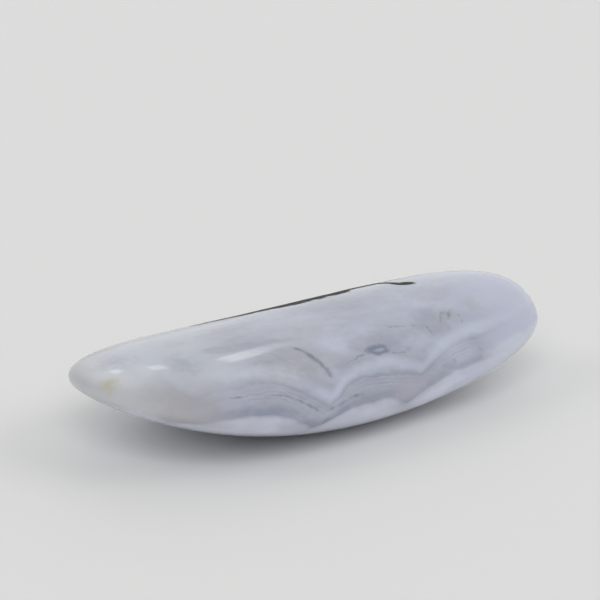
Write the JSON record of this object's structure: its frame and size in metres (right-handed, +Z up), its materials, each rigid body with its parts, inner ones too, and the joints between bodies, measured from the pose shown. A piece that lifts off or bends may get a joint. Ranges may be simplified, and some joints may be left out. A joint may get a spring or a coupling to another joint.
{
  "type": "agate palm stone",
  "caption": "Smooth hand-polished banded agate pebble, long and low with a gently domed crown and a boat-shaped belly, to hold in the palm or set down as an ornament.",
  "frame": {"origin": "middle of the stone's length and width, on the plane that it rests on", "axes": "+X along the stone's length towards its narrow end, +Y across its width, +Z up from the resting flat to the crown"},
  "size_m": [0.076, 0.0362, 0.0155],
  "materials": {
    "polished_agate": "polished, pale blue-grey to milky white wavy bands, slightly translucent, with a dark host-rock seam on the crown"
  },
  "bodies": {
    "root": {"palm_stone": "polished_agate"}
  },
  "joints": []
}
